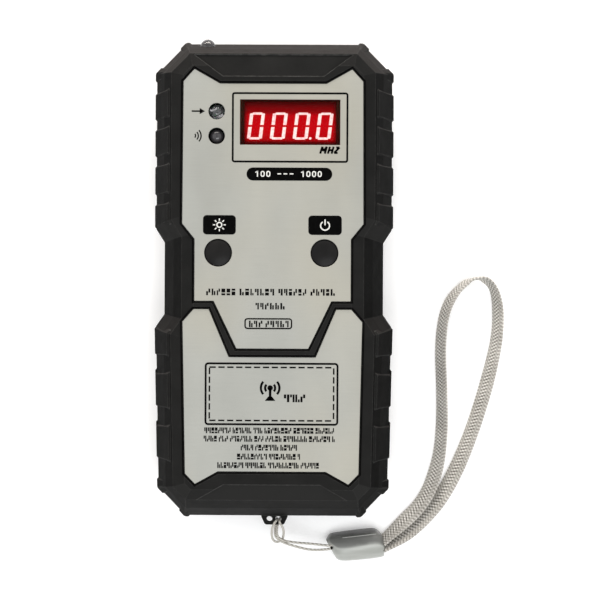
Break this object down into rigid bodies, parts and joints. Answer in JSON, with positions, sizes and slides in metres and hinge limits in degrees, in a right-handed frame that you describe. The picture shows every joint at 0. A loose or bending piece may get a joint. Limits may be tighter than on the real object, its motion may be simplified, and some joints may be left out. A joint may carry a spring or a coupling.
{
  "type": "handheld frequency counter",
  "caption": "Hand-held frequency counter with a red digital display, indicator lamps, push buttons, torch lamp, grip case and a braided wrist strap.",
  "frame": {"origin": "under the middle of the case, strap left out, on the plane that its back lies on", "axes": "+Z out of the front face, +Y along the case towards the torch end, +X to the right when facing the display"},
  "size_m": [0.1171, 0.1764, 0.0342],
  "materials": {
    "case_black": "fine moulded texture, satin",
    "panel_silver": "brushed, lacquered, printed in black",
    "filter_red": "transparent red acrylic",
    "display_body": "smooth",
    "pin_metal": "bright tinned",
    "led_clear": "clear epoxy",
    "led_dark": "smoked epoxy",
    "button_black": "smooth satin",
    "switch_black": "moulded",
    "plunger_plastic": "moulded",
    "board_green": "solder mask over fibreglass",
    "screw_steel": "black zinc",
    "chip_black": "moulded epoxy",
    "crystal_can": "nickel plated",
    "capacitor_sleeve": "shrink sleeve",
    "ceramic_chip": "matt",
    "coil_copper": "bare copper",
    "battery_jacket": "printed steel jacket, plain",
    "snap_black": "vinyl",
    "lead_red": "vinyl insulation",
    "lead_black": "vinyl insulation",
    "strap_cord_grey": "twisted nylon cord",
    "strap_clip_grey": "satin moulded",
    "strap_braid": "flat woven nylon braid"
  },
  "bodies": {
    "case": {"front_shell": "case_black", "rear_shell": "case_black", "case_screws": "screw_steel", "upper_panel": "panel_silver", "lower_panel": "panel_silver", "display_filter": "filter_red", "display_module": "display_body", "display_pins": "pin_metal", "input_led": "led_clear", "ir_receiver": "led_dark", "torch_led": "led_clear", "led_leads": "pin_metal", "light_switch_body": "switch_black", "power_switch_body": "switch_black", "main_board": "board_green", "board_screws": "screw_steel", "microcontroller": "chip_black", "prescaler_chip": "chip_black", "crystal": "crystal_can", "voltage_regulator": "chip_black", "electrolytic_capacitors": "capacitor_sleeve", "driver_transistors": "chip_black", "chip_resistors": "ceramic_chip", "pickup_coil": "coil_copper", "battery": "battery_jacket", "battery_terminals": "pin_metal", "battery_snap": "snap_black", "battery_lead_red": "lead_red", "battery_lead_black": "lead_black", "strap_cord": "strap_cord_grey", "strap_clip": "strap_clip_grey", "strap_ribbon": "strap_braid"},
    "light_button": {"light_button": "button_black", "light_switch_plunger": "plunger_plastic"},
    "power_button": {"power_button": "button_black", "power_switch_plunger": "plunger_plastic"},
    "battery_door": {"battery_door": "case_black"}
  },
  "joints": [
    {"name": "light_button_press", "type": "slide", "parent": "case", "child": "light_button", "axis": [0, 0, -1], "range_m": [0, 0.0005], "stiffness_N_per_m": 600, "springref_m": -0.0012},
    {"name": "power_button_press", "type": "slide", "parent": "case", "child": "power_button", "axis": [0, 0, -1], "range_m": [0, 0.0005], "stiffness_N_per_m": 600, "springref_m": -0.0012},
    {"name": "battery_door_slide", "type": "slide", "parent": "case", "child": "battery_door", "axis": [0, -1, 0], "range_m": [0, 0.06]}
  ]
}
